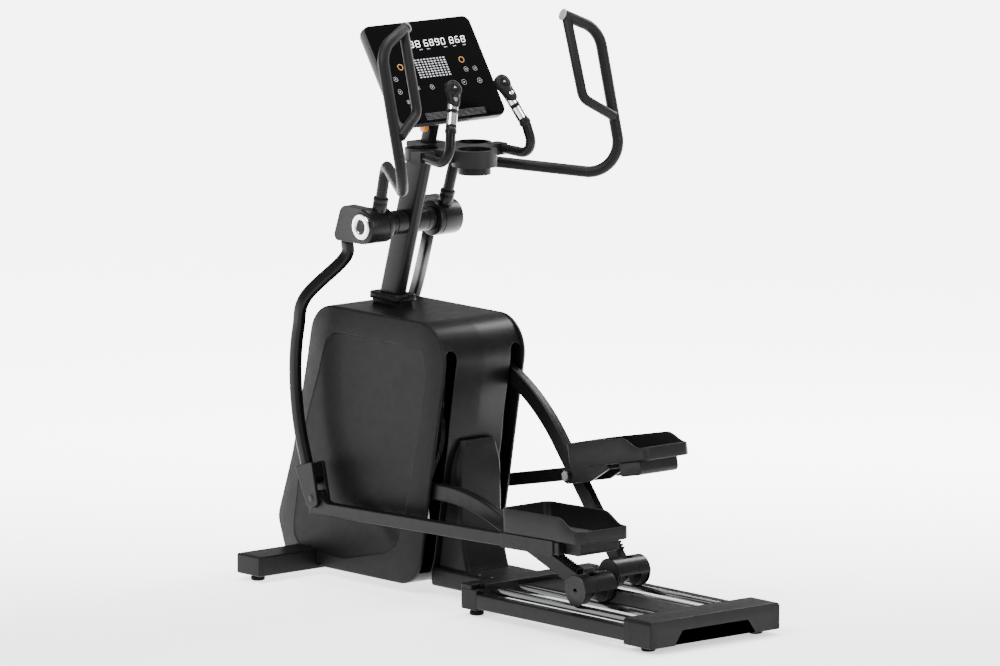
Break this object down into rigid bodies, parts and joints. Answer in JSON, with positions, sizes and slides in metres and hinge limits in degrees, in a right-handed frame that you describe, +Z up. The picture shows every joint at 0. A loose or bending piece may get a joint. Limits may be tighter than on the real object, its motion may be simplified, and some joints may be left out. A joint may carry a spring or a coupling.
{
  "type": "elliptical trainer",
  "caption": "Front-drive elliptical trainer with two roller arms on chromed rails, swing arms with moving handles, fixed hand bars, tray and tilting console.",
  "frame": {"origin": "on the floor, under the middle of the machine's outline", "axes": "+Z up, +X towards the user's end, +Y to the user's right when facing the console"},
  "size_m": [1.8493, 0.9026, 1.7979],
  "materials": {
    "black_coat": "satin black powder coat with a fine texture",
    "black_plastic": "fine grained black moulding",
    "pedal_plastic": "grained dark moulding with a ribbed floor",
    "hub_plastic": "smooth satin black moulding",
    "grip_foam": "black rubber sleeve over steel tube",
    "cap_grey": "light grey end disc",
    "foot_rubber": "black rubber foot",
    "chrome": "polished",
    "steel": "machined steel",
    "zinc": "dark zinc plate",
    "pulley_alloy": "cast alloy",
    "belt_rubber": "ribbed rubber belt",
    "brake_steel": "dark painted steel",
    "board_green": "laminate board",
    "roller_cover": "black moulded cover",
    "wheel_rubber": "dark polyurethane tread",
    "console_grey": "satin mid grey moulding",
    "console_glass": "gloss black display panel",
    "knob_orange": "orange moulding",
    "head_plastic": "satin black moulding"
  },
  "bodies": {
    "frame": {"base_beam": "black_coat", "deck_cover": "black_plastic", "front_stabiliser": "black_coat", "stabiliser_end_caps": "black_plastic", "levelling_feet": "foot_rubber", "track_front_block": "black_plastic", "track_side_rails": "black_coat", "rear_end_cap": "black_plastic", "track_center_cover": "black_plastic", "rail_tubes": "chrome", "mast": "black_coat", "mast_collar": "black_plastic", "pivot_shaft": "steel", "shaft_end_caps": "chrome", "housing_left": "black_plastic", "housing_right": "black_plastic", "housing_spine": "black_plastic", "housing_cowl": "black_plastic", "drive_frame": "black_coat", "drive_belt": "belt_rubber", "brake_unit": "brake_steel", "control_board": "board_green", "power_inlet": "black_plastic", "console_bracket": "black_coat", "tray": "black_plastic", "fixed_bars": "grip_foam", "pulse_contacts": "chrome", "bar_heads": "head_plastic", "fasteners": "zinc"},
    "swing_left": {"hub_left": "hub_plastic", "lower_arm_left": "black_coat", "handle_left": "grip_foam", "grip_cap_left": "cap_grey", "lower_pivot_left": "black_coat"},
    "link_left": {"link_bar_left": "black_coat", "pedal_tray_left": "pedal_plastic", "pedal_base_left": "pedal_plastic"},
    "carriage_left": {"roller_carriage_left": "roller_cover"},
    "arm_left": {"roller_arm_left": "black_coat"},
    "wheels_left": {"roller_wheels_left": "wheel_rubber"},
    "swing_right": {"hub_right": "hub_plastic", "lower_arm_right": "black_coat", "handle_right": "grip_foam", "grip_cap_right": "cap_grey", "lower_pivot_right": "black_coat"},
    "link_right": {"link_bar_right": "black_coat", "pedal_tray_right": "pedal_plastic", "pedal_base_right": "pedal_plastic"},
    "carriage_right": {"roller_carriage_right": "roller_cover"},
    "arm_right": {"roller_arm_right": "black_coat"},
    "wheels_right": {"roller_wheels_right": "wheel_rubber"},
    "crank": {"crank_set": "steel", "drive_pulley": "pulley_alloy"},
    "flywheel": {"flywheel": "steel"},
    "idler": {"belt_idler": "steel"},
    "console": {"console_body": "console_grey", "console_glass": "console_glass"},
    "tilt_knob": {"tilt_knob": "knob_orange"},
    "key_left": {"key_left": "head_plastic"},
    "key_right": {"key_right": "head_plastic"}
  },
  "joints": [
    {"name": "carriage_slide_left", "type": "slide", "parent": "frame", "child": "carriage_left", "axis": [1, 0, 0], "range_m": [-0.18, 0.11]},
    {"name": "arm_hinge_left", "type": "hinge", "parent": "carriage_left", "child": "arm_left", "pos_m": [0.50818, -0.132, 0.128], "axis": [0, -1, 0], "range_deg": [-3.25, 2.03]},
    {"name": "swing_hinge_left", "type": "hinge", "parent": "frame", "child": "swing_left", "pos_m": [-0.5, -0.137, 1.118], "axis": [0, -1, 0], "range_deg": [-12, 7.48]},
    {"name": "link_hinge_left", "type": "hinge", "parent": "swing_left", "child": "link_left", "pos_m": [-0.65465, -0.23, 0.26186], "axis": [0, -1, 0], "range_deg": [-6.47, 10.38]},
    {"name": "wheel_spin_left", "type": "hinge", "parent": "carriage_left", "child": "wheels_left", "pos_m": [0.50818, -0.132, 0.128], "axis": [0, 1, 0], "range_deg": [-247.57, 154.3]},
    {"name": "carriage_slide_right", "type": "slide", "parent": "frame", "child": "carriage_right", "axis": [1, 0, 0], "range_m": [-0.1352, 0.217]},
    {"name": "arm_hinge_right", "type": "hinge", "parent": "carriage_right", "child": "arm_right", "pos_m": [0.36267, 0.132, 0.128], "axis": [0, -1, 0], "range_deg": [-3.02, 4.84]},
    {"name": "swing_hinge_right", "type": "hinge", "parent": "frame", "child": "swing_right", "pos_m": [-0.5, 0.137, 1.118], "axis": [0, -1, 0], "range_deg": [-8.1, 13]},
    {"name": "link_hinge_right", "type": "hinge", "parent": "swing_right", "child": "link_right", "pos_m": [-0.68034, 0.23, 0.2669], "axis": [0, -1, 0], "range_deg": [-12.27, 7.65]},
    {"name": "wheel_spin_right", "type": "hinge", "parent": "carriage_right", "child": "wheels_right", "pos_m": [0.36267, 0.132, 0.128], "axis": [0, 1, 0], "range_deg": [-180.21, 289.14]},
    {"name": "crank_spin", "type": "hinge", "parent": "frame", "child": "crank", "pos_m": [-0.482, 0, 0.482], "axis": [0, 1, 0], "continuous": true},
    {"name": "flywheel_spin", "type": "hinge", "parent": "frame", "child": "flywheel", "pos_m": [-0.5, 0, 0.208], "axis": [0, 1, 0], "continuous": true},
    {"name": "idler_spin", "type": "hinge", "parent": "frame", "child": "idler", "pos_m": [-0.59642, 0.008, 0.30246], "axis": [0, 1, 0], "continuous": true},
    {"name": "console_tilt", "type": "hinge", "parent": "frame", "child": "console", "pos_m": [-0.37379, 0, 1.50558], "axis": [0, 1, 0], "range_deg": [-8, 8]},
    {"name": "tilt_knob_turn", "type": "hinge", "parent": "frame", "child": "tilt_knob", "pos_m": [-0.38, -0.036, 1.424], "axis": [0, 1, 0], "range_deg": [-90, 270]},
    {"name": "key_press_left", "type": "slide", "parent": "frame", "child": "key_left", "axis": [-0.8368, 0, -0.5476], "range_m": [0, 0.0015], "stiffness_N_per_m": 600},
    {"name": "key_press_right", "type": "slide", "parent": "frame", "child": "key_right", "axis": [-0.8368, 0, -0.5476], "range_m": [0, 0.0015], "stiffness_N_per_m": 600}
  ],
  "couplings": [
    {"joint": "arm_hinge_left", "follows": "carriage_slide_left", "rad_per_m": 0.3054},
    {"joint": "swing_hinge_left", "follows": "carriage_slide_left", "rad_per_m": 1.1274},
    {"joint": "link_hinge_left", "follows": "carriage_slide_left", "rad_per_m": -0.9754},
    {"joint": "wheel_spin_left", "follows": "carriage_slide_left", "rad_per_m": 23.256},
    {"joint": "carriage_slide_right", "follows": "carriage_slide_left", "ratio": -1.1679},
    {"joint": "arm_hinge_right", "follows": "carriage_slide_left", "rad_per_m": -0.4549},
    {"joint": "swing_hinge_right", "follows": "carriage_slide_left", "rad_per_m": -1.2213},
    {"joint": "link_hinge_right", "follows": "carriage_slide_left", "rad_per_m": 1.1525},
    {"joint": "wheel_spin_right", "follows": "carriage_slide_left", "rad_per_m": -27.16},
    {"joint": "flywheel_spin", "follows": "crank_spin", "ratio": 4.5256},
    {"joint": "idler_spin", "follows": "crank_spin", "ratio": -5.3083}
  ]
}
